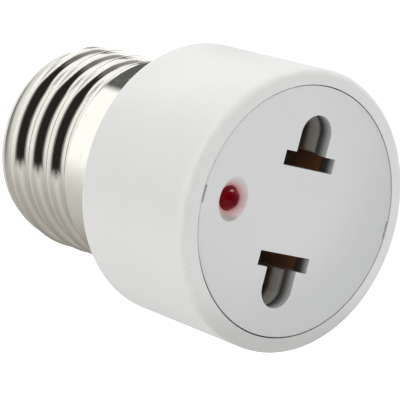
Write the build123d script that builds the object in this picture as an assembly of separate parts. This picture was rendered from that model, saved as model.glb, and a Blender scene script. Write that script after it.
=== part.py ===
from build123d import *
import math
import os

# Lamp socket adapter: a screw cap on one end of a round body, a two-pin outlet on the other.
# The axis runs along Y. The outlet face looks to -Y, the screw cap points to +Y, and Z runs
# along the line through the two slots. The origin is on the axis, in the plane of the body's
# shoulder, where the screw shell meets the body. All sizes are in millimetres.

# Body
body_length = 21.0
front_radius = 18.0
body_taper = 0.65
rim_width = 2.03
seat_width = 1.07
rim_round = 0.9
rear_round = 1.0
floor_thickness = 1.8
wire_hole_radius = 3.2
neck_length = 7.2
neck_wall = 1.7
neck_chamfer = 0.4
pocket_wall = 1.2
tie_rib_width = 2.0
tie_rib_gap = 1.0
lamp_rib_width = 2.4
lamp_rib_overlap = 0.9

# Face plate
plate_thickness = 2.0
plate_gap = 0.12
plate_edge_round = 0.15
key_width = 2.0
key_depth = 0.3
key_sunk = 1.0
arm_angle = 25.0
arm_spread = 16.0
arm_wall = 1.2
arm_length = 4.6
arm_gap = 0.2
hook_reach = 0.65
hook_catch = 0.5
hook_land = 0.3
hook_gap = 0.1

# Slots, one above and one below the axis
blade_spacing = 12.7
bar_length = 8.4
bar_width = 1.9
leg_width = 5.0
leg_tip = 12.25

# Contacts, formed from strip
strip = 0.45
clip_clearance = 0.2
clip_length = 9.5
clip_recess = 0.6
pocket_clearance = 0.1
pocket_recess = 0.15
ledge_inset = 0.1
seam_start = 0.4
seam_width = 1.2
tail_width = 2.4
tail_length = 5.0
tail_centre = -1.5
tail_gap = 0.5
wire_hole_back = 1.0
lead_hole_back = 2.7

# Indicator lamp and its circuit
lamp_inset = 5.0
lamp_radius = 1.5
lamp_dome = 1.25
lamp_sunk = 0.85
lamp_barrel = 2.8
lamp_flange_radius = 1.9
lamp_flange = 1.0
lamp_clearance = 0.08
dish_half_width = 2.25
dish_half_height = 2.85
boss_radius = 2.7
lead_spacing = 2.54
lead_radius = 0.25
lead_bend = 0.6
lead_tail = 0.5
lead_run = 1.1
lead_slant = 0.9
lead_stub = 1.1
circuit_inset = 1.25
circuit_spacing = 4.6
diode_radius = 1.25
diode_length = 4.3
diode_edge = 0.2
resistor_radius = 0.9
resistor_waist = 0.75
resistor_length = 3.6
resistor_cap = 0.9
resistor_step = 0.3
resistor_edge = 0.15
sleeve_wall = 0.3
sleeve_clearance = 0.08
sleeve_length = 4.4
sleeve_end_gap = 1.2

# Screw cap
thread_pitch = 3.629
thread_radius = 13.2
thread_depth = 1.1
last_crest = 18.9
root_flat = 0.12
sheet = 0.35
collar_step = 0.25
collar_length = 7.6
collar_taper = 1.1
shell_fit = 0.05
shell_end = 22.3
fade_length = 2.8
lip_length = 1.7
lip_depth = 1.5
cap_length = 27.0
insulator_flange = 1.2
insulator_fit = 0.05
insulator_shoulder = 1.0
contact_radius = 4.75
contact_rim = 0.6
contact_dome = 0.75
contact_shank = 1.4
contact_seat = 0.35
shank_overhang = 0.5
shank_hole_depth = 2.0

# Wires and solder
wire_radius = 0.8
core_radius = 0.35
wire_bend = 1.5
wire_spacing = 2.2
core_bare = 0.9
drop_start = 9.0
drop_run = 2.6
joint_turns = 1.75
solder_radius = 0.75
solder_height = 0.6
solder_top = 0.1
bead_radius = 0.6
bead_length = 1.2

# Overlap that joins a moulded rib to its wall, and how far a cutter runs past what it cuts
rib_root = 0.5
overrun = 1.0

# Derived planes, along Y
face_y = -body_length
plate_back = face_y + plate_thickness
arm_end = plate_back + arm_length
catch_y = arm_end - hook_land - hook_catch
floor_front = -floor_thickness
clip_front = plate_back + clip_recess
clip_back = clip_front + clip_length
tail_end = clip_back + tail_length
wire_y = tail_end - wire_hole_back
lead_y = tail_end - lead_hole_back
dish_floor = face_y + lamp_sunk
lamp_seat = dish_floor + lamp_barrel
lamp_base = lamp_seat + lamp_flange
component_back = lead_y - lead_bend - lead_tail
diode_front = component_back - diode_length
resistor_front = component_back - resistor_length
joint_y = diode_front - lead_stub
shell_joint = last_crest - joint_turns * thread_pitch

# Derived places across the axis
rear_radius = front_radius - body_taper
recess_radius = front_radius - rim_width
plate_radius = recess_radius - plate_gap
bore_radius = recess_radius - seat_width
lamp_offset = plate_radius - lamp_inset
circuit_offset = lamp_offset - circuit_inset
collar_radius = thread_radius + collar_step
blade_z = blade_spacing / 2
leg_end = leg_tip - leg_width / 2
leaf_outer = blade_z - bar_width / 2 - clip_clearance
leaf_inner = leaf_outer - strip
pocket_growth = clip_clearance + strip + pocket_clearance
neck_radius = collar_radius - sheet - shell_fit
neck_bore = neck_radius - neck_wall
root_radius = thread_radius - thread_depth
shell_bore = root_radius - sheet
circuit_z = circuit_spacing / 2
wire_z = wire_spacing / 2
wall_reach = math.sqrt(shell_bore**2 - (abs(tail_centre) + core_radius) ** 2)
solder_reach = math.sqrt(shell_bore**2 - (abs(tail_centre) + solder_radius) ** 2)

# Derived ends of the screw cap
lip_angle = math.atan2(lip_depth, lip_length)
lip_bore_start = shell_end - sheet * math.tan((math.pi / 2 - lip_angle) / 2)
insulator_back = lip_bore_start - insulator_flange
contact_front = cap_length - contact_dome - contact_rim
shank_end = insulator_back - shank_overhang
shank_hole_end = shank_end + shank_hole_depth


def turned(points, rounds=()):
    # Solid turned about Y from an outline of (radius, y) points, with some corners rounded.
    outline = Polygon(*points, align=None)
    for corner, radius in rounds:
        vertex = outline.vertices().sort_by_distance((corner[0], corner[1], 0))[0]
        outline = fillet(vertex, radius)
    return revolve(outline, Axis.Y)


def across(sketch, front, back):
    # Prism along Y of a sketch drawn in X and Z.
    plane = Plane(origin=(0, back, 0), x_dir=(1, 0, 0), z_dir=(0, -1, 0))
    return extrude(plane * sketch, amount=back - front)


def block(low, high):
    # Box between two corners.
    size = [b - a for a, b in zip(low, high)]
    middle = [(a + b) / 2 for a, b in zip(low, high)]
    return Pos(*middle) * Box(*size)


def rod(points, radius, bend, bore=0.0):
    # Round rod or tube along straight runs joined by arcs.
    path = FilletPolyline(*points, radius=bend) if len(points) > 2 else Line(*points)
    section = Circle(radius)
    if bore:
        section -= Circle(bore)
    start = Plane(origin=path @ 0, z_dir=path % 0)
    return sweep(start * section, path=path)


def dome_arc(radius, base_y, height):
    # Arc of a round cap, from its edge to its top on the axis; a negative height domes to -Y.
    sphere = (radius**2 + height**2) / (2 * height)
    half_turn = math.asin(radius / abs(sphere)) / 2
    middle = (abs(sphere) * math.sin(half_turn), base_y + height - sphere * (1 - math.cos(half_turn)))
    return ThreePointArc((radius, base_y), middle, (0, base_y + height))


def both(solid):
    # A piece above the axis and its mirror image below.
    return solid, mirror(solid, about=Plane.XY)


def slot_outline(growth=0.0):
    # T-shaped outline of the upper slot: a bar for a flat blade, a round-ended leg for a pin.
    bar = Pos(0, blade_z) * Rectangle(bar_length, bar_width)
    leg = Pos(0, (blade_z + leg_end) / 2) * Rectangle(leg_width, leg_end - blade_z)
    outline = bar + leg + Pos(0, leg_end) * Circle(leg_width / 2)
    return offset(outline, amount=growth) if growth else outline


def make_body_shell():
    # Tapered cup with a seat for the plate, a floor, and a neck for the screw shell.
    outer_front = (front_radius, face_y)
    outer_back = (rear_radius, 0)
    cup = turned(
        [
            (recess_radius, face_y),
            outer_front,
            outer_back,
            (neck_radius, 0),
            (neck_radius, neck_length - neck_chamfer),
            (neck_radius - neck_chamfer, neck_length),
            (neck_bore, neck_length),
            (neck_bore, 0),
            (wire_hole_radius, 0),
            (wire_hole_radius, floor_front),
            (bore_radius, floor_front),
            (bore_radius, plate_back),
            (recess_radius, plate_back),
        ],
        [(outer_front, rim_round), (outer_back, rear_round)],
    )
    # Groove that the plate's hooks snap into.
    cup -= turned(
        [
            (bore_radius - overrun, catch_y - hook_gap),
            (bore_radius + hook_reach, catch_y - hook_gap),
            (bore_radius + hook_reach, arm_end + hook_gap),
            (bore_radius - overrun, arm_end + hook_gap),
        ]
    )
    # Keys in the rim, which turn the plate to its place.
    for side in (-1, 1):
        inner, outer = sorted((side * (recess_radius - key_depth), side * (recess_radius + rib_root)))
        cup += block((inner, face_y + key_sunk, -key_width / 2), (outer, plate_back, key_width / 2))
    # Rib that holds the lamp against the plate.
    rib_inner = -lamp_offset - lamp_flange_radius + lamp_rib_overlap
    cup += block(
        (-bore_radius - rib_root, lamp_base, -lamp_rib_width / 2),
        (rib_inner, floor_front, lamp_rib_width / 2),
    )
    for pocket in both(make_contact_pocket()):
        cup += pocket
    return cup


def make_contact_pocket():
    # Walls round the upper contact, tied to the body by a rib, with a ledge that the clip stands on
    # and a window for its tail.
    pocket = across(slot_outline(pocket_growth + pocket_wall), plate_back + pocket_recess, floor_front)
    pocket += block(
        (-tie_rib_width / 2, arm_end + tie_rib_gap, leg_end),
        (tie_rib_width / 2, floor_front, bore_radius + rib_root),
    )
    pocket -= across(slot_outline(pocket_growth), plate_back, clip_back)
    pocket -= across(slot_outline(clip_clearance + ledge_inset), clip_back, floor_front)
    window_half = tail_width / 2 + tail_gap
    window_start = leaf_inner - pocket_clearance - pocket_wall - overrun
    pocket -= block(
        (tail_centre - window_half, clip_back, window_start),
        (tail_centre + window_half, tail_end + tail_gap, blade_z),
    )
    return pocket


def make_face_plate():
    # Round plate with the slots, the dished lamp hole, the key notches and four snap arms.
    front_edge = (plate_radius, face_y)
    plate = turned(
        [(0, face_y), front_edge, (plate_radius, plate_back), (0, plate_back)],
        [(front_edge, plate_edge_round)],
    )
    notch_half = key_width / 2 + plate_gap
    for side in (-1, 1):
        inner, outer = sorted((side * (plate_radius - key_depth), side * (plate_radius + overrun)))
        plate -= block((inner, face_y - overrun, -notch_half), (outer, plate_back + overrun, notch_half))
    for cut in both(across(slot_outline(), face_y - overrun, plate_back + overrun)):
        plate -= cut
    plate += Pos(-lamp_offset, 0, 0) * turned(
        [(0, plate_back), (boss_radius, plate_back), (boss_radius, lamp_seat), (0, lamp_seat)]
    )
    hole_radius = lamp_radius + lamp_clearance
    plate -= Pos(-lamp_offset, 0, 0) * turned(
        [(0, face_y), (hole_radius, face_y), (hole_radius, lamp_seat), (0, lamp_seat)]
    )
    dish_front = Plane((-lamp_offset, face_y, 0), x_dir=(1, 0, 0), z_dir=(0, 1, 0))
    oval = dish_front * Ellipse(dish_half_width, dish_half_height)
    plate -= loft([oval, dish_front.offset(lamp_sunk) * Circle(hole_radius)], ruled=True)
    arm_outer = bore_radius - arm_gap
    arm_inner = arm_outer - arm_wall
    hook_tip = bore_radius + hook_reach - hook_gap
    section = Polygon(
        (arm_inner, plate_back),
        (arm_outer, plate_back),
        (arm_outer, catch_y),
        (hook_tip, catch_y),
        (hook_tip, catch_y + hook_land),
        (arm_outer, arm_end),
        (arm_inner, arm_end),
        align=None,
    )
    arm = Rot(0, -arm_spread / 2, 0) * revolve(section, Axis.Y, revolution_arc=arm_spread)
    for angle in (arm_angle, -arm_angle, 180 - arm_angle, 180 + arm_angle):
        plate += Rot(0, angle, 0) * arm
    return plate


def make_contact():
    # Strip bent round the slot's outline, open at a seam, with a tail for the solder joints.
    section = slot_outline(clip_clearance + strip) - slot_outline(clip_clearance)
    clip = across(section, clip_front, clip_back)
    clip -= block(
        (seam_start, clip_front - overrun, leaf_inner - overrun),
        (seam_start + seam_width, clip_back + overrun, blade_z),
    )
    clip += block(
        (tail_centre - tail_width / 2, clip_back - strip, leaf_inner),
        (tail_centre + tail_width / 2, tail_end, leaf_outer),
    )
    for hole_y, radius in ((wire_y, core_radius), (lead_y, lead_radius)):
        clip -= Pos(tail_centre, hole_y, leaf_inner) * Cylinder(radius, 2 * overrun)
    return clip


def make_threaded_rod(inset):
    # Solid rod with the round-section thread wound on a right-hand helix. Equal arcs make its crests
    # and roots. The inset sinks the surface by the sheet's thickness, for the shell's inner side.
    arc = ((thread_pitch / 2) ** 2 + thread_depth**2) / (4 * thread_depth)
    lean = math.asin(thread_pitch / 4 / arc)
    crest_arc = arc - inset
    root_arc = arc + inset
    foot_turn = math.asin(root_flat / 2 / root_arc)
    rod_radius = root_radius - inset

    def on_crest(turn):
        return crest_arc * math.sin(turn), thread_depth - crest_arc * (1 - math.cos(turn))

    def on_root(turn, side):
        return side * (thread_pitch / 2 - root_arc * math.sin(turn)), root_arc * (1 - math.cos(turn))

    middle = (foot_turn + lean) / 2
    near, far = on_root(foot_turn, -1), on_root(foot_turn, 1)
    section = make_face(
        [
            ThreePointArc(near, on_root(middle, -1), on_crest(-lean)),
            ThreePointArc(on_crest(-lean), on_crest(0), on_crest(lean)),
            ThreePointArc(on_crest(lean), on_root(middle, 1), far),
            Polyline(far, (far[0], -thread_depth), (near[0], -thread_depth), near),
        ]
    )
    # The helix starts at +X half a turn before a crest on the -X side.
    turns = math.ceil(last_crest / thread_pitch)
    start_y = last_crest - (turns - 0.5) * thread_pitch
    height = (turns + 1) * thread_pitch
    helix = Pos(0, start_y, 0) * Rot(-90, 0, 0) * Helix(thread_pitch, height, rod_radius)
    tangent = helix % 0
    start = Plane(origin=helix @ 0, x_dir=Vector(1, 0, 0).cross(tangent), z_dir=tangent)
    ridge = sweep(start * section, path=helix, is_frenet=True)
    core = Rot(90, 0, 0) * Cylinder(rod_radius, height + 2 * thread_pitch)
    return Pos(0, start_y + height / 2, 0) * core + ridge


def lip_bore_point(beyond):
    # Point on the inner side of the lip, at a distance along Y past the thread's end.
    end_y = shell_end + beyond
    return shell_bore - (end_y - lip_bore_start) * math.tan(lip_angle), end_y


def make_screw_shell():
    # Rolled sheet: a plain collar, the thread, and a lip turned in over the insulator.
    reach = collar_radius + overrun
    taper_end = collar_length + collar_taper
    fade = (reach - root_radius) * fade_length / thread_depth
    outer = make_threaded_rod(0.0) & turned(
        [
            (0, collar_length),
            (reach, collar_length),
            (reach, shell_end - fade),
            (root_radius, shell_end),
            (0, shell_end),
        ]
    )
    outer += turned(
        [
            (0, 0),
            (collar_radius, 0),
            (collar_radius, collar_length),
            (root_radius, taper_end),
            (0, taper_end),
        ]
    )
    outer += turned(
        [
            (0, shell_end - sheet),
            (root_radius, shell_end - sheet),
            (root_radius, shell_end),
            (root_radius - lip_depth, shell_end + lip_length),
            (0, shell_end + lip_length),
        ]
    )
    inner = make_threaded_rod(sheet) & turned(
        [
            (0, collar_length + sheet),
            (reach, collar_length + sheet),
            (reach, lip_bore_start - sheet - fade),
            (shell_bore, lip_bore_start - sheet),
            (0, lip_bore_start - sheet),
        ]
    )
    bend = sheet * math.tan(math.atan2(collar_taper, collar_radius - root_radius) / 2)
    inner += turned(
        [
            (0, -overrun),
            (collar_radius - sheet, -overrun),
            (collar_radius - sheet, collar_length - bend),
            (shell_bore, taper_end - bend),
            (shell_bore, lip_bore_start),
            lip_bore_point(lip_length + overrun),
            (0, shell_end + lip_length + overrun),
        ]
    )
    return outer - inner


def make_cap_insulator():
    # Cone that closes the screw shell, held by a flange inside the lip and pierced for the contact.
    corner_radius, corner_y = lip_bore_point(lip_length)
    hole_radius = contact_shank + insulator_fit
    seat_radius = contact_radius + insulator_fit
    flange_radius = shell_bore - insulator_fit
    return turned(
        [
            (hole_radius, insulator_back),
            (flange_radius, insulator_back),
            (flange_radius, lip_bore_start - insulator_fit),
            (corner_radius - insulator_fit, corner_y),
            (contact_radius + insulator_shoulder, contact_front + contact_seat),
            (seat_radius, contact_front + contact_seat),
            (seat_radius, contact_front),
            (hole_radius, contact_front),
        ]
    )


def make_centre_contact():
    # Rivet with a domed head, drilled at its inner end for the live wire.
    rim = contact_front + contact_rim
    profile = make_face(
        [
            Polyline(
                (core_radius, shank_end),
                (contact_shank, shank_end),
                (contact_shank, contact_front),
                (contact_radius, contact_front),
                (contact_radius, rim),
            ),
            dome_arc(contact_radius, rim, contact_dome),
            Polyline(
                (0, cap_length),
                (0, shank_hole_end),
                (core_radius, shank_hole_end),
                (core_radius, shank_end),
            ),
        ]
    )
    return revolve(profile, Axis.Y)


def make_indicator_lamp():
    # Round lamp with a flange and a domed end.
    lamp = turned(
        [
            (0, dish_floor),
            (lamp_radius, dish_floor),
            (lamp_radius, lamp_seat),
            (lamp_flange_radius, lamp_seat),
            (lamp_flange_radius, lamp_base),
            (0, lamp_base),
        ]
    )
    dome = make_face(
        [
            dome_arc(lamp_radius, dish_floor, -lamp_dome),
            Polyline((0, dish_floor - lamp_dome), (0, dish_floor), (lamp_radius, dish_floor)),
        ]
    )
    return Pos(-lamp_offset, 0, 0) * (lamp + revolve(dome, Axis.Y))


def make_lamp_lead():
    # Lead of the lamp on the upper side, out to the joint with its component.
    lead_z = lead_spacing / 2
    return rod(
        [
            (-lamp_offset, lamp_base, lead_z),
            (-lamp_offset, lamp_base + lead_run, lead_z),
            (-circuit_offset, lamp_base + lead_run + lead_slant, circuit_z),
            (-circuit_offset, joint_y, circuit_z),
        ],
        lead_radius,
        lead_bend,
    )


def make_component_leads(front, back):
    # The two leads of a component above the axis: to the lamp's lead, and to the contact's tail.
    to_lamp = rod(
        [
            (-circuit_offset, joint_y, circuit_z),
            (-circuit_offset, front, circuit_z),
        ],
        lead_radius,
        lead_bend,
    )
    to_tail = rod(
        [
            (-circuit_offset, back, circuit_z),
            (-circuit_offset, lead_y, circuit_z),
            (tail_centre, lead_y, circuit_z),
            (tail_centre, lead_y, leaf_outer),
        ],
        lead_radius,
        lead_bend,
    )
    return Compound([to_lamp, to_tail])


def make_diode():
    # Plain round diode with eased ends.
    front_edge = (diode_radius, diode_front)
    back_edge = (diode_radius, component_back)
    body = turned(
        [(0, diode_front), front_edge, back_edge, (0, component_back)],
        [(front_edge, diode_edge), (back_edge, diode_edge)],
    )
    return Pos(-circuit_offset, 0, circuit_z) * body


def make_resistor():
    # Small resistor, thicker at its two end caps.
    front_edge = (resistor_radius, resistor_front)
    back_edge = (resistor_radius, component_back)
    body = turned(
        [
            (0, resistor_front),
            front_edge,
            (resistor_radius, resistor_front + resistor_cap),
            (resistor_waist, resistor_front + resistor_cap + resistor_step),
            (resistor_waist, component_back - resistor_cap - resistor_step),
            (resistor_radius, component_back - resistor_cap),
            back_edge,
            (0, component_back),
        ],
        [(front_edge, resistor_edge), (back_edge, resistor_edge)],
    )
    return Pos(-circuit_offset, 0, circuit_z) * body


def make_sleeve():
    # Insulating sleeve on the lead that crosses to the tail.
    bore = lead_radius + sleeve_clearance
    start = -circuit_offset + sleeve_end_gap
    ends = [(start, lead_y, circuit_z), (start + sleeve_length, lead_y, circuit_z)]
    return rod(ends, bore + sleeve_wall, lead_bend, bore)


def make_wire(points, bare_start, bare_end):
    # Insulated wire along a route: the copper core, and the insulation short of both ends.
    core = rod(points, core_radius, wire_bend)
    first, second = Vector(points[0]), Vector(points[1])
    last, before = Vector(points[-1]), Vector(points[-2])
    start = first + (second - first).normalized() * bare_start
    end = last + (before - last).normalized() * bare_end
    cover = rod([start, *points[1:-1], end], wire_radius, wire_bend, core_radius)
    return core, cover


def make_live_wire():
    # From the upper contact's tail to the centre contact.
    return make_wire(
        [
            (tail_centre, wire_y, leaf_outer),
            (tail_centre, wire_y, wire_z),
            (tail_centre, drop_start, wire_z),
            (0, drop_start + drop_run, 0),
            (0, shank_hole_end, 0),
        ],
        strip + core_bare,
        shank_hole_depth + core_bare,
    )


def make_neutral_wire():
    # From the lower contact's tail to the wall of the screw shell.
    return make_wire(
        [
            (tail_centre, wire_y, -leaf_outer),
            (tail_centre, wire_y, -wire_z),
            (tail_centre, shell_joint, -wire_z),
            (tail_centre, shell_joint, -wall_reach),
        ],
        strip + core_bare,
        solder_height + core_bare,
    )


def make_solder():
    # Cones where wires and leads pass through the tails, one on the shell, and beads on the leads.
    joints = []
    for hole_y, radius in ((wire_y, core_radius), (lead_y, lead_radius)):
        cone = Cone(radius + solder_top, solder_radius, solder_height) - Cylinder(radius, solder_height)
        joints += both(Pos(tail_centre, hole_y, leaf_inner - solder_height / 2) * cone)
    bead = Cylinder(bead_radius, bead_length) - Cylinder(lead_radius, bead_length)
    joints += both(Pos(-circuit_offset, joint_y, circuit_z) * Rot(90, 0, 0) * bead)
    cone = Cone(solder_radius, core_radius + solder_top, solder_height)
    cone -= Cylinder(core_radius, solder_height)
    joints.append(Pos(tail_centre, shell_joint, solder_height / 2 - solder_reach) * cone)
    return Compound(joints)


upper_contact, lower_contact = both(make_contact())
live_wire_core, live_wire = make_live_wire()
neutral_wire_core, neutral_wire = make_neutral_wire()
parts = {
    "body_shell": make_body_shell(),
    "face_plate": make_face_plate(),
    "screw_shell": make_screw_shell(),
    "cap_insulator": make_cap_insulator(),
    "centre_contact": make_centre_contact(),
    "indicator_lamp": make_indicator_lamp(),
    "lamp_leads": Compound(both(make_lamp_lead())),
    "protection_diode": make_diode(),
    "diode_leads": make_component_leads(diode_front, component_back),
    "series_resistor": mirror(make_resistor(), about=Plane.XY),
    "resistor_leads": mirror(make_component_leads(resistor_front, component_back), about=Plane.XY),
    "lead_sleeves": Compound(both(make_sleeve())),
    "upper_contact": upper_contact,
    "lower_contact": lower_contact,
    "live_wire_core": live_wire_core,
    "live_wire": live_wire,
    "neutral_wire_core": neutral_wire_core,
    "neutral_wire": neutral_wire,
    "solder_joints": make_solder(),
}

os.makedirs("parts", exist_ok=True)
for name, shape in parts.items():
    export_step(shape, f"parts/{name}.step")
    volume = sum(solid.volume for solid in shape.solids())
    print(name, round(volume, 2), shape.is_valid)
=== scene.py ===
import math

import bpy
from mathutils import Matrix, Vector


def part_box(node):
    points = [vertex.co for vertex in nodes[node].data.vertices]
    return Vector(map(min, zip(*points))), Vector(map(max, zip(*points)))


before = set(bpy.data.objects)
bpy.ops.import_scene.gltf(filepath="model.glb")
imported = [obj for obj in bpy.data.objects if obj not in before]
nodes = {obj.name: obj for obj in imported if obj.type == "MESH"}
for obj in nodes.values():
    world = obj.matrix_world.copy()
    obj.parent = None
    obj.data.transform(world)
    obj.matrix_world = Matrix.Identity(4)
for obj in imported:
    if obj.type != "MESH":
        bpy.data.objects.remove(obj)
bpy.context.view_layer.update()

bpy.ops.object.select_all(action="DESELECT")
print("frame loaded:", len(nodes), "nodes")


# camera, set to the photo's view of the adapter
photoView = {
    "azimuth": -42.8,
    "elevation": 3.32,
    "roll": 14.4,
    "distance": 0.553,  # from the middle of the face
    "focal": 4500.0,  # in pixels
    "frame": 400,
    "facePixel": (296.5, 212.15),  # where the middle of the face is seen
    "faceMiddle": (0.0, -0.021, 0.0),
    "sensor": 36.0,
    "clip": (0.01, 20.0),
}


def placeCamera(v):
    a, e, r = (math.radians(v[k]) for k in ("azimuth", "elevation", "roll"))
    back = Vector((math.sin(a) * math.cos(e), -math.cos(a) * math.cos(e), math.sin(e)))
    level = Vector((math.cos(a), math.sin(a), 0.0))
    upright = back.cross(level)
    right = level * math.cos(r) + upright * math.sin(r)
    up = upright * math.cos(r) - level * math.sin(r)
    half = v["frame"] / 2
    across = (v["facePixel"][0] - half) / v["focal"]
    down = (v["facePixel"][1] - half) / v["focal"]
    ray = right * across - up * down - back
    bpy.ops.object.camera_add()
    cam = bpy.context.object
    cam.name = "photoCamera"
    cam.data.sensor_width = v["sensor"]
    cam.data.lens = v["sensor"] * v["focal"] / v["frame"]
    cam.data.clip_start, cam.data.clip_end = v["clip"]
    place = Matrix((right, up, back)).transposed().to_4x4()
    place.translation = Vector(v["faceMiddle"]) - ray * v["distance"]
    cam.matrix_world = place
    bpy.context.scene.camera = cam


placeCamera(photoView)
print("camera placed")


# small helpers for node trees
def put(tree, kind, **settings):
    node = tree.nodes.new(kind)
    for key, value in settings.items():
        setattr(node, key, value)
    return node


def feed(tree, socket, value):  # a socket is linked, anything else is set
    if isinstance(value, bpy.types.NodeSocket):
        tree.links.new(value, socket)
    elif isinstance(value, tuple):
        socket.default_value = (*value, 1.0) if len(socket.default_value) == 4 else value
    else:
        socket.default_value = value


def calc(tree, operation, *values):
    node = put(tree, "ShaderNodeMath", operation=operation)
    for socket, value in zip(node.inputs, values):
        feed(tree, socket, value)
    return node.outputs[0]


def ease(tree, value, low, high, start=0.0, end=1.0):  # soft step from start to end
    node = put(tree, "ShaderNodeMapRange", interpolation_type="SMOOTHSTEP")
    for socket, item in zip(node.inputs, (value, low, high, start, end)):
        feed(tree, socket, item)
    return node.outputs[0]


def tint(tree, share, first, second):
    node = put(tree, "ShaderNodeMix", data_type="RGBA")
    for socket, item in zip((node.inputs[0], node.inputs[6], node.inputs[7]), (share, first, second)):
        feed(tree, socket, item)
    return node.outputs[2]


def noise(tree, where, scale, detail=3.0, rough=0.5):
    node = put(tree, "ShaderNodeTexNoise")
    feed(tree, node.inputs["Vector"], where)
    feed(tree, node.inputs["Scale"], scale)
    node.inputs["Detail"].default_value = detail
    node.inputs["Roughness"].default_value = rough
    return node.outputs[0]


def parts3(tree, vector):
    node = put(tree, "ShaderNodeSeparateXYZ")
    feed(tree, node.inputs[0], vector)
    return node.outputs


# studio: white backdrop, soft light from above and behind, and the cards that the nickel mirrors
studio = {
    "level": 0.775,
    "slope": (0.05, 0.16, 0.45),  # growth of the soft light along x, y and z
    "table": -0.62,  # light that the white table sends up, as a change of slope below the horizon
    "sky": [  # sine of the height, colour
        (-1.0, (0.42, 0.395, 0.36)),
        (-0.866, (0.50, 0.475, 0.445)),
        (-0.707, (0.57, 0.55, 0.52)),
        (-0.5, (0.72, 0.71, 0.68)),
        (-0.342, (0.88, 0.875, 0.85)),
        (-0.17, (0.99, 0.99, 0.965)),
        (0.5, (1.07, 1.07, 1.05)),
        (0.87, (1.17, 1.17, 1.16)),
        (1.0, (1.20, 1.20, 1.20)),
    ],
    "cards": [  # name, turn, height, half sizes, soft side, bottom and top, slant, colour
        ("tableRight", 50, -48, 42, 32, (24, 12, 12), 0.0, (0.35, 0.33, 0.30)),
        ("backLight", 10, 52, 22, 38, (6, 6, 6), 0.0, (1.30, 1.30, 1.30)),
        ("sideLight", 80, 28, 43, 26, (3, 5, 5), 0.0, (1.30, 1.30, 1.30)),
        ("lightGap", 33.5, 27, 3.5, 24, (2.5, 5, 5), 0.08, (0.20, 0.20, 0.195)),
        ("gapTop", 52, 59, 17, 5, (6, 3, 3), 0.25, (0.26, 0.26, 0.255)),
        ("upperShade", -50, 60, 24, 11, (14, 7, 6), 0.0, (0.55, 0.55, 0.54)),
        ("rightShade", 150, 48, 30, 13, (5, 8, 8), 0.0, (0.38, 0.38, 0.37)),
        ("dimRoom", -150, 19, 64, 41, (17, 5, 8), -0.16, (0.20, 0.195, 0.18)),
        ("darkRoom", -148, 19, 37, 37, (6, 3, 6), -0.16, (0.022, 0.020, 0.018)),
        ("roomRight", 132, -2, 34, 32, (8, 10, 10), 0.0, (0.30, 0.30, 0.295)),
    ],
    "ringEnd": 5.0,  # soft ends of a ring, in degrees
    "ringRise": (-0.4, -0.05),  # rings fade out below the horizon, by the sine of the height
    "rings": [  # for the plain collar: angle from the axis, half width, soft edge, turn, half turn, colour
        ("ringLight", 41.5, 3.2, 0.8, -32, 19, (1.30, 1.30, 1.28)),
        ("ringShade", 41.6, 3.0, 0.8, 17, 29, (0.13, 0.13, 0.125)),
    ],
}


def within(tree, span, size, edge):  # 1 inside the size and 0 past its soft edge, in degrees
    return ease(tree, span, math.radians(size - edge), math.radians(size + edge), 1.0, 0.0)


def makeStudio(s):
    world = bpy.data.worlds.new("studio")
    bpy.context.scene.world = world
    world.use_nodes = True
    tree = world.node_tree
    out = tree.nodes["Background"]
    ray = put(tree, "ShaderNodeLightPath").outputs
    x, y, z = parts3(tree, put(tree, "ShaderNodeTexCoord").outputs["Generated"])
    soft = s["level"]
    for axis, grow in zip((x, y, z), s["slope"]):
        soft = calc(tree, "MULTIPLY_ADD", axis, grow, soft)
    soft = calc(tree, "MULTIPLY_ADD", calc(tree, "MINIMUM", z, 0.0), s["table"], soft)
    ramp = put(tree, "ShaderNodeValToRGB")
    stops = ramp.color_ramp.elements
    while len(stops) < len(s["sky"]):
        stops.new(0.5)
    for stop, (sine, colour) in zip(stops, s["sky"]):
        stop.position = (sine + 1) / 2
        stop.color = (*colour, 1.0)
    feed(tree, ramp.inputs[0], calc(tree, "MULTIPLY_ADD", z, 0.5, 0.5))
    mirrored = ramp.outputs[0]
    turn = calc(tree, "ARCTAN2", x, y)
    height = calc(tree, "ARCSINE", z)
    fromCap = calc(tree, "ARCCOSINE", y)
    for name, lon, lat, wide, tall, edges, slant, colour in s["cards"]:
        off = calc(tree, "WRAP", calc(tree, "SUBTRACT", turn, math.radians(lon)), math.pi, -math.pi)
        rise = calc(tree, "MULTIPLY_ADD", off, -slant, calc(tree, "SUBTRACT", height, math.radians(lat)))
        share = within(tree, calc(tree, "ABSOLUTE", off), wide, edges[0])
        fall = calc(tree, "MULTIPLY", rise, -1.0)
        share = calc(tree, "MULTIPLY", share, within(tree, fall, tall, edges[1]))
        share = calc(tree, "MULTIPLY", share, within(tree, rise, tall, edges[2]))
        mirrored = tint(tree, share, mirrored, colour)
        mirrored.node.label = name
    for name, angle, half, edge, lon, wide, colour in s["rings"]:
        off = calc(tree, "ABSOLUTE", calc(tree, "SUBTRACT", turn, math.radians(lon)))
        beside = calc(tree, "ABSOLUTE", calc(tree, "SUBTRACT", fromCap, math.radians(angle)))
        share = within(tree, off, wide, s["ringEnd"])
        share = calc(tree, "MULTIPLY", share, within(tree, beside, half, edge))
        share = calc(tree, "MULTIPLY", share, ease(tree, z, *s["ringRise"]))
        mirrored = tint(tree, share, mirrored, colour)
        mirrored.node.label = name
    seen = tint(tree, ray["Is Glossy Ray"], soft, mirrored)
    seen = tint(tree, ray["Is Camera Ray"], seen, (1.0, 1.0, 1.0))
    feed(tree, out.inputs["Color"], seen)
    bpy.context.scene.view_settings.view_transform = "Standard"


makeStudio(studio)

# small lamp that gives the red lens its glint and lights nothing else
glintLamp = {
    "toward": (0.190, -0.294, 0.936), "away": 0.1, "aim": (-0.01085, -0.0205, 0.0),
    "wide": 0.06, "tall": 0.03, "power": 0.075, "on": "indicator_lamp",
}


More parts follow.
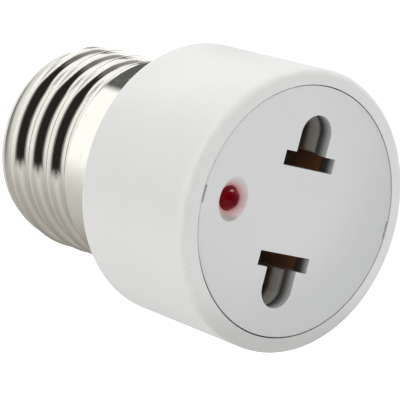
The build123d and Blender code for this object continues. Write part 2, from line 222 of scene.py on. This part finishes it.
def placeGlintLamp(g):
    aim, toward = Vector(g["aim"]), Vector(g["toward"]).normalized()
    bpy.ops.object.light_add(type="AREA", location=aim + toward * g["away"])
    lamp = bpy.context.object
    lamp.name = "glintLamp"
    lamp.data.shape = "RECTANGLE"
    lamp.data.size = g["wide"]
    lamp.data.size_y = g["tall"]
    lamp.data.energy = g["power"]
    lamp.rotation_euler = toward.to_track_quat("Z", "Y").to_euler()
    lit = bpy.data.collections.new("glintOnly")
    lit.objects.link(nodes[g["on"]])
    lamp.light_linking.receiver_collection = lit
    lamp.select_set(False)


placeGlintLamp(glintLamp)

# pale floor, bright enough that no shadow shows on it
paleFloor = {"size": 6.0, "height": -0.034, "colour": (0.92, 0.92, 0.92), "rough": 0.9, "glow": 0.35}


def makeFloor(p):
    bpy.ops.mesh.primitive_plane_add(size=p["size"], location=(0, 0, p["height"]))
    floor = bpy.context.object
    floor.name = "paleFloor"
    mat = bpy.data.materials.new("palePaper")
    mat.use_nodes = True
    shader = mat.node_tree.nodes["Principled BSDF"]
    shader.inputs["Base Color"].default_value = (*p["colour"], 1)
    shader.inputs["Roughness"].default_value = p["rough"]
    shader.inputs["Emission Color"].default_value = (1, 1, 1, 1)
    shader.inputs["Emission Strength"].default_value = p["glow"]
    floor.data.materials.append(mat)
    floor.visible_diffuse = False
    floor.visible_glossy = False
    floor.visible_transmission = False
    floor.visible_shadow = False
    floor.select_set(False)


makeFloor(paleFloor)
print("stage ready")


# effects that several finishes share
def openGroup(name, inputs, outputs):
    group = bpy.data.node_groups.new(name, "ShaderNodeTree")
    for label, value in inputs.items():
        socket = group.interface.new_socket(label, in_out="INPUT", socket_type="NodeSocketFloat")
        socket.default_value = value
    for label in outputs:
        group.interface.new_socket(label, in_out="OUTPUT", socket_type="NodeSocketFloat")
    where = put(group, "ShaderNodeTexCoord").outputs["Object"]
    return group, put(group, "NodeGroupInput").outputs, put(group, "NodeGroupOutput").inputs, where


def fromAxis(tree, x, z):  # distance from the adapter's axis
    return calc(tree, "SQRT", calc(tree, "ADD", calc(tree, "MULTIPLY", x, x), calc(tree, "MULTIPLY", z, z)))


def fromPoint(tree, x, z, point):  # distance from a line beside the axis
    return fromAxis(tree, calc(tree, "SUBTRACT", x, point[0]), calc(tree, "SUBTRACT", z, point[1]))


def towardSide(tree, x, z, side):  # how far a place lies to one side of the axis
    return calc(tree, "MULTIPLY_ADD", x, side[0], calc(tree, "MULTIPLY", z, side[1]))


# detail and roughness of each noise, and the levels between which it steps
mouldLook = {
    "clouds": (5.0, 0.6), "cloudStep": (0.3, 0.7), "grains": 2.0, "flecks": 1.0, "fleckStep": (0.74, 0.8),
    "facing": (0.2, 1.0), "dustStep": (0.42, 0.62),
}


def makeMouldGrain(m):  # moulded plastic: clouds, fine grain, flecks, dust on top
    group, given, out, where = openGroup(
        "mouldGrain",
        {"Cloud Scale": 150.0, "Grain Scale": 6000.0, "Fleck Scale": 1500.0},
        ("Cloud", "Grain", "Fleck", "Dust"),
    )
    cloud = noise(group, where, given["Cloud Scale"], *m["clouds"])
    feed(group, out["Cloud"], ease(group, cloud, *m["cloudStep"]))
    feed(group, out["Grain"], noise(group, where, given["Grain Scale"], m["grains"]))
    fleck = noise(group, where, given["Fleck Scale"], m["flecks"])
    feed(group, out["Fleck"], ease(group, fleck, *m["fleckStep"]))
    facing = parts3(group, put(group, "ShaderNodeNewGeometry").outputs["Normal"])[2]
    settled = calc(group, "MULTIPLY", ease(group, facing, *m["facing"]), ease(group, cloud, *m["dustStep"]))
    feed(group, out["Dust"], settled)
    return group


rolledLook = {
    "streaks": 2.0, "scratches": (1.0, 0.3), "scratchStep": (0.66, 0.72),
    "breakScale": 900.0, "breaks": 2.0, "breakStep": (0.5, 0.6),
    "stains": (6.0, 0.62), "stainStep": (0.45, 0.75),
    "axisGuard": 1e-5,  # keeps the distance from the axis above zero
}


def makeRolledMetal(m):  # sheet rolled about the axis: streaks, scratches and stains
    group, given, out, where = openGroup(
        "rolledMetal",
        {"Streak Scale": 9000.0, "Scratch Scale": 5000.0, "Stain Scale": 260.0, "Stretch": 0.0015},
        ("Streak", "Scratch", "Stain"),
    )
    x, y, z = parts3(group, where)
    away = calc(group, "ADD", fromAxis(group, x, z), m["axisGuard"])
    around = calc(group, "DIVIDE", given["Stretch"], away)
    along = put(group, "ShaderNodeCombineXYZ")
    feed(group, along.inputs[0], calc(group, "MULTIPLY", x, around))
    feed(group, along.inputs[1], y)
    feed(group, along.inputs[2], calc(group, "MULTIPLY", z, around))
    feed(group, out["Streak"], noise(group, along.outputs[0], given["Streak Scale"], m["streaks"]))
    scratch = noise(group, along.outputs[0], given["Scratch Scale"], *m["scratches"])
    broken = ease(group, noise(group, where, m["breakScale"], m["breaks"]), *m["breakStep"])
    feed(group, out["Scratch"], calc(group, "MULTIPLY", ease(group, scratch, *m["scratchStep"]), broken))
    stain = noise(group, where, given["Stain Scale"], *m["stains"])
    feed(group, out["Stain"], ease(group, stain, *m["stainStep"]))
    return group


ringLook = {"breaks": (4.0, 0.6), "breakStep": (0.42, 0.62)}


def makeRingWear(m):  # broken band along a round edge
    group, given, out, where = openGroup(
        "ringWear",
        {"Radius": 0.018, "Level": 0.0, "Reach": 0.001, "Break Scale": 700.0},
        ("Wear",),
    )
    x, y, z = parts3(group, where)
    outward = calc(group, "SUBTRACT", fromAxis(group, x, z), given["Radius"])
    onward = calc(group, "SUBTRACT", y, given["Level"])
    away = fromAxis(group, outward, onward)
    near = calc(group, "SUBTRACT", 1.0, ease(group, away, 0.0, given["Reach"]))
    rubbed = ease(group, noise(group, where, given["Break Scale"], *m["breaks"]), *m["breakStep"])
    feed(group, out["Wear"], calc(group, "MULTIPLY", near, rubbed))
    return group


mouldGrain = makeMouldGrain(mouldLook)
rolledMetal = makeRolledMetal(rolledLook)
ringWear = makeRingWear(ringLook)
print("shared effects made")


# finishes
def openFinish(name):
    mat = bpy.data.materials.new(name)
    mat.use_nodes = True
    return mat, mat.node_tree, mat.node_tree.nodes["Principled BSDF"]


def useGroup(tree, group, **values):
    node = put(tree, "ShaderNodeGroup", node_tree=group)
    for label, value in values.items():
        feed(tree, node.inputs[label.replace("_", " ")], value)
    return node.outputs


def ownPlace(tree):
    return put(tree, "ShaderNodeTexCoord").outputs["Object"]


def dent(tree, shader, height, depth, strength):
    bump = put(tree, "ShaderNodeBump")
    bump.inputs["Strength"].default_value = strength
    bump.inputs["Distance"].default_value = depth
    feed(tree, bump.inputs["Height"], height)
    feed(tree, shader.inputs["Normal"], bump.outputs[0])


def dress(mat, *names):
    for name in names:
        nodes[name].data.materials.clear()
        nodes[name].data.materials.append(mat)


# what dust, rubbing and scratches do to roughness, and how deep a scratch is beside a streak
sharedWear = {"dustRough": 0.1, "rubRough": -0.12, "scratchRough": 0.15, "scratchCut": -2.0}


def plasticFinish(name, f):
    mat, tree, shader = openFinish(name)
    grain = useGroup(
        tree, mouldGrain, Cloud_Scale=f["cloud"], Grain_Scale=f["grain"], Fleck_Scale=f["fleck"],
    )
    colour = tint(tree, grain["Cloud"], f["pale"], f["deep"])
    colour = tint(tree, calc(tree, "MULTIPLY", grain["Fleck"], f["flecked"]), colour, f["fleckColour"])
    colour = tint(tree, calc(tree, "MULTIPLY", grain["Dust"], f["dusty"]), colour, f["dustColour"])
    rough = calc(tree, "MULTIPLY_ADD", grain["Cloud"], f["roughSwing"], f["rough"])
    rough = calc(tree, "MULTIPLY_ADD", grain["Dust"], sharedWear["dustRough"], rough)
    if "rim" in f:
        wear = useGroup(tree, ringWear, Radius=f["rim"][0], Level=f["rim"][1], Reach=f["rim"][2])["Wear"]
        colour = tint(tree, calc(tree, "MULTIPLY", wear, f["rubbed"]), colour, f["rubColour"])
        rough = calc(tree, "MULTIPLY_ADD", wear, sharedWear["rubRough"], rough)
    feed(tree, shader.inputs["Base Color"], colour)
    feed(tree, shader.inputs["Roughness"], rough)
    dent(tree, shader, grain["Grain"], f["grainDepth"], f["grainStrength"])
    return mat, tree, shader, colour


def metalFinish(name, f):
    mat, tree, shader = openFinish(name)
    sheet = useGroup(
        tree, rolledMetal, Streak_Scale=f["streak"], Scratch_Scale=f["scratch"],
        Stain_Scale=f["stain"], Stretch=f["stretch"],
    )
    colour = tint(tree, sheet["Streak"], f["bright"], f["dull"])
    colour = tint(tree, calc(tree, "MULTIPLY", sheet["Stain"], f["stained"]), colour, f["stainColour"])
    rough = calc(tree, "MULTIPLY_ADD", sheet["Streak"], f["roughSwing"], f["rough"])
    rough = calc(tree, "MULTIPLY_ADD", sheet["Stain"], f["stainRough"], rough)
    rough = calc(tree, "MULTIPLY_ADD", sheet["Scratch"], sharedWear["scratchRough"], rough)
    feed(tree, shader.inputs["Base Color"], colour)
    feed(tree, shader.inputs["Roughness"], rough)
    if f["film"]:
        feed(tree, shader.inputs["Metallic"], calc(tree, "MULTIPLY_ADD", sheet["Stain"], -f["film"], 1.0))
    else:
        shader.inputs["Metallic"].default_value = 1.0
    lines = calc(tree, "MULTIPLY_ADD", sheet["Scratch"], sharedWear["scratchCut"], sheet["Streak"])
    dent(tree, shader, lines, f["lineDepth"], f["lineStrength"])
    return mat, tree, shader, colour


bodyPlastic = {
    "pale": (0.86, 0.856, 0.848), "deep": (0.84, 0.834, 0.826),
    "cloud": 90.0, "grain": 9000.0, "fleck": 1300.0,
    "flecked": 0.25, "fleckColour": (0.62, 0.60, 0.57),
    "dusty": 0.10, "dustColour": (0.78, 0.76, 0.73),
    "rough": 0.36, "roughSwing": 0.10,
    "rim": (0.0178, -0.0205, 0.0011), "rubbed": 0.22, "rubColour": (0.74, 0.72, 0.69),
    "grainDepth": 0.00002, "grainStrength": 0.12,
    # painted shade: grey along the lower rim and at mid height of the barrel
    "paintedShadeColour": (0.60, 0.60, 0.59),
    "underSide": (0.15, -0.99), "underReach": (0.0085, 0.0168), "underRim": (-0.0188, -0.0205),
    "underShadeShare": 0.85,
    "barrelLow": (-0.009, -0.001), "barrelHigh": (0.004, 0.012), "barrelFront": (-0.0205, -0.0185),
    "barrelShadeShare": 0.25,
}


def makeBodyFinish(f):  # painted shade along the lower rim and at mid height, as in the photo
    mat, tree, shader, colour = plasticFinish("bodyPlastic", f)
    x, y, z = parts3(tree, ownPlace(tree))
    # painted shade at mid height, near the front
    middle = ease(tree, z, *f["barrelHigh"], f["barrelShadeShare"], 0.0)
    middle = calc(tree, "MULTIPLY", ease(tree, z, *f["barrelLow"]), middle)
    middle = calc(tree, "MULTIPLY", middle, ease(tree, y, *f["barrelFront"]))
    colour = tint(tree, middle, colour, f["paintedShadeColour"])
    # painted shade along the lower rim
    side = towardSide(tree, x, z, f["underSide"])
    under = ease(tree, side, *f["underReach"], 0.0, f["underShadeShare"])
    under = calc(tree, "MULTIPLY", under, ease(tree, y, *f["underRim"]))
    feed(tree, shader.inputs["Base Color"], tint(tree, under, colour, f["paintedShadeColour"]))
    return mat


dress(makeBodyFinish(bodyPlastic), "body_shell")

platePlastic = {
    "pale": (0.80, 0.812, 0.806), "deep": (0.78, 0.791, 0.784),
    "cloud": 120.0, "grain": 8000.0, "fleck": 1500.0,
    "flecked": 0.1, "fleckColour": (0.58, 0.57, 0.55),
    "dusty": 0.08, "dustColour": (0.74, 0.73, 0.71),
    "rough": 0.40, "roughSwing": 0.12,
    "rim": (0.0157, -0.021, 0.0007), "rubbed": 0.25, "rubColour": (0.68, 0.67, 0.65),
    "grainDepth": 0.00003, "grainStrength": 0.18,
    # painted red glow from the lens on the dish round it
    "lamp": (-0.01085, 0.0), "paintedGlowReach": (0.0014, 0.0028), "paintedGlowColour": (0.92, 0.36, 0.34), "paintedGlowShare": 0.9,
    "paintedGlowRise": (-0.003, 0.003), "paintedGlowTop": 0.7, "paintedGlowWide": 0.002, "paintedGlowRight": 0.75,
    # painted shade toward the lower right of the face
    "shadeSide": (0.8, -0.6), "shadeRound": 1.5, "shadeReach": (0.008, 0.036),
    "shaded": 0.6, "shadeColour": (0.60, 0.615, 0.61),
    # painted shade in the slots, deeper inwards and sooner in the bars
    "slotSide": 0.0044, "slotFar": (0.0050, 0.0128), "slotDepth": (-0.02095, -0.0192),
    "slotShadeColour": (0.06, 0.055, 0.055), "slotShadeShare": (0.15, 0.95),
    # painted shade at the foot of the dish
    "dishLow": (-0.0016, -0.0024), "dishDepth": (-0.0210, -0.0209), "dishReach": 0.003,
    "dishShadeShare": 0.6, "dishShadeColour": (0.30, 0.26, 0.26),
    "barFar": 0.0073, "barDepth": (-0.02095, -0.0195),
    # painted shade on the parting line, lower left
    "edgeSide": (-0.34, -0.94), "edgeSpan": (0.0105, 0.0145), "edgeReach": (0.01576, 0.01584),
    "edgeShadeColour": (0.05, 0.05, 0.05), "edgeShadeShare": 0.9,
}


def makePlateFinish(f):
    mat, tree, shader, colour = plasticFinish("platePlastic", f)
    x, y, z = parts3(tree, ownPlace(tree))  # painted red glow from the lens round it, weaker above and to the right
    away = fromPoint(tree, x, z, f["lamp"])
    glow = ease(tree, away, f["paintedGlowReach"][0], f["paintedGlowReach"][1], f["paintedGlowShare"], 0.0)
    glow = calc(tree, "MULTIPLY", glow, ease(tree, z, *f["paintedGlowRise"], 1.0, f["paintedGlowTop"]))
    lampX = f["lamp"][0]
    glow = calc(tree, "MULTIPLY", glow, ease(tree, x, lampX, lampX + f["paintedGlowWide"], 1.0, f["paintedGlowRight"]))
    colour = tint(tree, glow, colour, f["paintedGlowColour"])
    low = ease(tree, z, *f["dishLow"], 0.0, f["dishShadeShare"])  # painted shade: the foot of the dish is darker
    low = calc(tree, "MULTIPLY", low, ease(tree, y, *f["dishDepth"]))
    low = calc(tree, "MULTIPLY", low, calc(tree, "LESS_THAN", away, f["dishReach"]))
    colour = tint(tree, low, colour, f["dishShadeColour"])
    # painted shade toward the lower right of the face
    along = towardSide(tree, x, z, f["shadeSide"])
    along = calc(tree, "MULTIPLY_ADD", fromAxis(tree, x, z), f["shadeRound"], along)
    colour = tint(tree, ease(tree, along, *f["shadeReach"], 0.0, f["shaded"]), colour, f["shadeColour"])
    tall = calc(tree, "ABSOLUTE", z)  # painted shade: the slots' walls darken inwards, sooner in the bars
    inSlot = calc(tree, "LESS_THAN", calc(tree, "ABSOLUTE", x), f["slotSide"])
    inSlot = calc(tree, "MULTIPLY", inSlot, calc(tree, "GREATER_THAN", tall, f["slotFar"][0]))
    inSlot = calc(tree, "MULTIPLY", inSlot, calc(tree, "LESS_THAN", tall, f["slotFar"][1]))
    below = calc(tree, "GREATER_THAN", y, f["slotDepth"][0])
    inBar = calc(tree, "LESS_THAN", tall, f["barFar"])
    shade = ease(tree, y, *f["slotDepth"], *f["slotShadeShare"])
    barShade = ease(tree, y, *f["barDepth"], *f["slotShadeShare"])
    shade = calc(tree, "MAXIMUM", shade, calc(tree, "MULTIPLY", inBar, barShade))
    shade = calc(tree, "MULTIPLY", shade, below)
    colour = tint(tree, calc(tree, "MULTIPLY", inSlot, shade), colour, f["slotShadeColour"])
    side = towardSide(tree, x, z, f["edgeSide"])
    edge = ease(tree, side, *f["edgeSpan"], 0.0, f["edgeShadeShare"])  # painted shade: the parting line is darkest lower left
    edge = calc(tree, "MULTIPLY", edge, ease(tree, fromAxis(tree, x, z), *f["edgeReach"]))
    colour = tint(tree, edge, colour, f["edgeShadeColour"])
    feed(tree, shader.inputs["Base Color"], colour)
    return mat


dress(makePlateFinish(platePlastic), "face_plate")

nickelShell = {
    "bright": (0.80, 0.79, 0.745), "dull": (0.76, 0.75, 0.70),
    "streak": 9000.0, "scratch": 5000.0, "stain": 260.0, "stretch": 0.0015,
    "stained": 0.10, "stainColour": (0.66, 0.62, 0.56),
    "rough": 0.035, "roughSwing": 0.03, "stainRough": 0.03, "film": 0.0,
    "lineDepth": 0.000002, "lineStrength": 0.06,
    "wornEnd": (0.0190, 0.0203), "wornRough": 0.4,
}


def makeNickelFinish(f):  # the cap's end is rougher, as it looks in the photo
    mat, tree, shader, _ = metalFinish("nickelShell", f)
    rough = shader.inputs["Roughness"].links[0].from_socket
    worn = ease(tree, parts3(tree, ownPlace(tree))[1], *f["wornEnd"], 0.0, f["wornRough"])
    feed(tree, shader.inputs["Roughness"], calc(tree, "ADD", rough, worn))
    return mat


dress(makeNickelFinish(nickelShell), "screw_shell")

contactBrass = {
    "bright": (0.56, 0.45, 0.31), "dull": (0.42, 0.33, 0.23),
    "streak": 5000.0, "scratch": 3500.0, "stain": 420.0, "stretch": 0.006,
    "stained": 0.55, "stainColour": (0.26, 0.20, 0.16),
    "rough": 0.34, "roughSwing": 0.12, "stainRough": 0.18, "film": 0.5,
    "lineDepth": 0.000006, "lineStrength": 0.25,
    "pinMouth": (0.0071, 0.0079), "pinLitColour": (0.80, 0.79, 0.75),  # painted light: grey where a pin goes in
    "bladeColour": (0.36, 0.145, 0.075),  # painted shade: red-brown where a blade goes in
    "pinDepth": (-0.0171, -0.0160), "bladeDepth": (-0.0160, -0.0080), "paintedMouthShare": 0.9,
}


def makeContactFinish(f):
    mat, tree, shader, colour = metalFinish("contactBrass", f)
    _, y, z = parts3(tree, ownPlace(tree))
    # painted light and shade at the mouths, fading inwards into the brass
    atPin = ease(tree, calc(tree, "ABSOLUTE", z), *f["pinMouth"])
    mouth = tint(tree, atPin, f["bladeColour"], f["pinLitColour"])
    pinShare = calc(tree, "MULTIPLY", atPin, ease(tree, y, *f["pinDepth"], f["paintedMouthShare"], 0.0))
    bladeShare = ease(tree, y, *f["bladeDepth"], f["paintedMouthShare"], 0.0)
    bladeShare = calc(tree, "MULTIPLY", bladeShare, calc(tree, "SUBTRACT", 1.0, atPin))
    share = calc(tree, "ADD", pinShare, bladeShare)
    feed(tree, shader.inputs["Base Color"], tint(tree, share, colour, mouth))
    metal = shader.inputs["Metallic"].links[0].from_socket
    feed(tree, shader.inputs["Metallic"], calc(tree, "MULTIPLY", metal, calc(tree, "SUBTRACT", 1.0, share)))
    return mat


dress(makeContactFinish(contactBrass), "upper_contact", "lower_contact")

tipBrass = {
    "bright": (0.78, 0.66, 0.40), "dull": (0.66, 0.53, 0.30),
    "streak": 4500.0, "scratch": 3000.0, "stain": 500.0, "stretch": 0.004,
    "stained": 0.4, "stainColour": (0.36, 0.27, 0.15),
    "rough": 0.22, "roughSwing": 0.10, "stainRough": 0.2, "film": 0.25,
    "lineDepth": 0.000008, "lineStrength": 0.3,
}
dress(metalFinish("tipBrass", tipBrass)[0], "centre_contact")

tinnedLead = {
    "bright": (0.78, 0.78, 0.77), "dull": (0.66, 0.66, 0.66),
    "streak": 7000.0, "scratch": 4000.0, "stain": 900.0, "stretch": 0.003,
    "stained": 0.35, "stainColour": (0.45, 0.44, 0.42),
    "rough": 0.24, "roughSwing": 0.10, "stainRough": 0.15, "film": 0.1,
    "lineDepth": 0.000005, "lineStrength": 0.25,
}
dress(metalFinish("tinnedLead", tinnedLead)[0], "lamp_leads", "diode_leads", "resistor_leads")

dullSolder = {
    "bright": (0.70, 0.70, 0.71), "dull": (0.55, 0.55, 0.56),
    "streak": 2500.0, "scratch": 2500.0, "stain": 1300.0, "stretch": 0.005,
    "stained": 0.5, "stainColour": (0.40, 0.36, 0.28),
    "rough": 0.36, "roughSwing": 0.14, "stainRough": 0.2, "film": 0.2,
    "lineDepth": 0.00003, "lineStrength": 0.4,
}
dress(metalFinish("dullSolder", dullSolder)[0], "solder_joints")

bareCopper = {
    "bright": (0.78, 0.46, 0.29), "dull": (0.62, 0.33, 0.20),
    "streak": 6000.0, "scratch": 3500.0, "stain": 800.0, "stretch": 0.003,
    "stained": 0.45, "stainColour": (0.34, 0.17, 0.11),
    "rough": 0.26, "roughSwing": 0.12, "stainRough": 0.2, "film": 0.2,
    "lineDepth": 0.000008, "lineStrength": 0.3,
}
dress(metalFinish("bareCopper", bareCopper)[0], "live_wire_core", "neutral_wire_core")

blackInsulator = {
    "pale": (0.018, 0.018, 0.02), "deep": (0.03, 0.03, 0.032),
    "cloud": 350.0, "grain": 2500.0, "fleck": 1800.0,
    "flecked": 0.4, "fleckColour": (0.09, 0.09, 0.10),
    "dusty": 0.15, "dustColour": (0.20, 0.19, 0.18),
    "rough": 0.12, "roughSwing": 0.14,
    "rim": (0.0105, 0.0237, 0.0012), "rubbed": 0.35, "rubColour": (0.11, 0.105, 0.10),
    "grainDepth": 0.00006, "grainStrength": 0.2,
}
dress(plasticFinish("blackInsulator", blackInsulator)[0], "cap_insulator")

blackSleeve = {
    "pale": (0.05, 0.05, 0.052), "deep": (0.075, 0.073, 0.07),
    "cloud": 700.0, "grain": 7000.0, "fleck": 3000.0,
    "flecked": 0.3, "fleckColour": (0.14, 0.14, 0.14),
    "dusty": 0.2, "dustColour": (0.24, 0.23, 0.21),
    "rough": 0.55, "roughSwing": 0.15,
    "grainDepth": 0.00004, "grainStrength": 0.3,
}
dress(plasticFinish("blackSleeve", blackSleeve)[0], "lead_sleeves")

brownInsulation = {
    "pale": (0.26, 0.115, 0.06), "deep": (0.21, 0.09, 0.048),
    "cloud": 400.0, "grain": 5000.0, "fleck": 2200.0,
    "flecked": 0.25, "fleckColour": (0.36, 0.19, 0.12),
    "dusty": 0.2, "dustColour": (0.40, 0.31, 0.25),
    "rough": 0.38, "roughSwing": 0.14,
    "grainDepth": 0.00003, "grainStrength": 0.2,
}
dress(plasticFinish("brownInsulation", brownInsulation)[0], "live_wire")

blueInsulation = {
    "pale": (0.07, 0.21, 0.56), "deep": (0.05, 0.165, 0.47),
    "cloud": 400.0, "grain": 5000.0, "fleck": 2200.0,
    "flecked": 0.25, "fleckColour": (0.16, 0.32, 0.66),
    "dusty": 0.2, "dustColour": (0.34, 0.40, 0.52),
    "rough": 0.38, "roughSwing": 0.14,
    "grainDepth": 0.00003, "grainStrength": 0.2,
}
dress(plasticFinish("blueInsulation", blueInsulation)[0], "neutral_wire")


bandPaint = {"wobbleScale": 3000.0, "wobble": 0.00006, "soft": 0.00004, "share": 0.95}


def bandedFinish(name, f, node, b=bandPaint):  # painted rings along the piece, from its own box
    mat, tree, shader, colour = plasticFinish(name, f)
    low, high = (corner[1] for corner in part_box(node))
    y = parts3(tree, ownPlace(tree))[1]
    wobble = calc(tree, "MULTIPLY_ADD", noise(tree, ownPlace(tree), b["wobbleScale"]), b["wobble"], y)
    for middle, wide, paint in f["rings"]:
        off = calc(tree, "ABSOLUTE", calc(tree, "SUBTRACT", wobble, low + (high - low) * middle))
        ring = ease(tree, off, wide / 2 - b["soft"], wide / 2 + b["soft"], b["share"], 0.0)
        colour = tint(tree, ring, colour, paint)
    feed(tree, shader.inputs["Base Color"], colour)
    dress(mat, node)


diodeBlack = {
    "pale": (0.035, 0.035, 0.036), "deep": (0.055, 0.054, 0.053),
    "cloud": 600.0, "grain": 6000.0, "fleck": 3000.0,
    "flecked": 0.35, "fleckColour": (0.12, 0.12, 0.12),
    "dusty": 0.2, "dustColour": (0.22, 0.21, 0.20),
    "rough": 0.45, "roughSwing": 0.15,
    "grainDepth": 0.00003, "grainStrength": 0.25,
    "rings": [(0.84, 0.0006, (0.66, 0.66, 0.65))],
}
bandedFinish("diodeBlack", diodeBlack, "protection_diode")

resistorTan = {
    "pale": (0.70, 0.52, 0.33), "deep": (0.62, 0.45, 0.28),
    "cloud": 700.0, "grain": 5000.0, "fleck": 2600.0,
    "flecked": 0.3, "fleckColour": (0.45, 0.32, 0.20),
    "dusty": 0.2, "dustColour": (0.60, 0.52, 0.43),
    "rough": 0.22, "roughSwing": 0.12,
    "grainDepth": 0.00003, "grainStrength": 0.2,
    "rings": [
        (0.20, 0.00034, (0.16, 0.07, 0.03)),
        (0.38, 0.00034, (0.02, 0.02, 0.02)),
        (0.56, 0.00034, (0.72, 0.24, 0.03)),
        (0.82, 0.00034, (0.55, 0.40, 0.12)),
    ],
}
bandedFinish("resistorTan", resistorTan, "series_resistor")

redLens = {
    # painted light and shade on the lens: brighter rim, darker core and top, faint glow in its hole
    "core": (0.11, 0.0, 0.002), "litRim": (0.19, 0.001, 0.005), "lit": (0.17, 0.004, 0.006),
    "middle": (-0.01085, 0.0), "coreSize": (0.0007, 0.0016), "collar": (-0.0206, -0.0200),
    "top": (-0.0004, 0.0012), "topShadeColour": (0.075, 0.0, 0.002), "topShadeShare": 0.7,
    "glow": (0.06, 0.002, 0.003), "rough": 0.05, "roughSwing": 0.05, "shine": 0.15,
    "cloudScale": 1400.0, "cloudReach": 0.0003,
    "waveScale": 2500.0, "waveDetail": 2.0, "waveDepth": 0.00002, "waveStrength": 0.15,
}


def makeRedLens(f):
    mat, tree, shader = openFinish("redLens")
    place = ownPlace(tree)
    x, y, z = parts3(tree, place)
    away = fromPoint(tree, x, z, f["middle"])
    cloud = noise(tree, place, f["cloudScale"])
    away = calc(tree, "MULTIPLY_ADD", cloud, f["cloudReach"], away)
    # painted light and shade: brighter red toward the rim, darker at the core
    colour = tint(tree, ease(tree, away, *f["coreSize"]), f["core"], f["litRim"])
    # painted shade at the top of the lens
    colour = tint(tree, ease(tree, z, *f["top"], 0.0, f["topShadeShare"]), colour, f["topShadeColour"])
    sunk = ease(tree, y, *f["collar"])  # painted light: brighter red, with a faint painted glow, where the lens stands in its hole
    feed(tree, shader.inputs["Base Color"], tint(tree, sunk, colour, f["lit"]))
    feed(tree, shader.inputs["Emission Color"], tint(tree, sunk, (0.0, 0.0, 0.0), f["glow"]))
    shader.inputs["Emission Strength"].default_value = 1.0
    feed(tree, shader.inputs["Roughness"], calc(tree, "MULTIPLY_ADD", cloud, f["roughSwing"], f["rough"]))
    shader.inputs["Specular IOR Level"].default_value = f["shine"]
    wave = noise(tree, place, f["waveScale"], f["waveDetail"])
    dent(tree, shader, wave, f["waveDepth"], f["waveStrength"])
    return mat


dress(makeRedLens(redLens), "indicator_lamp")
print("finishes on")
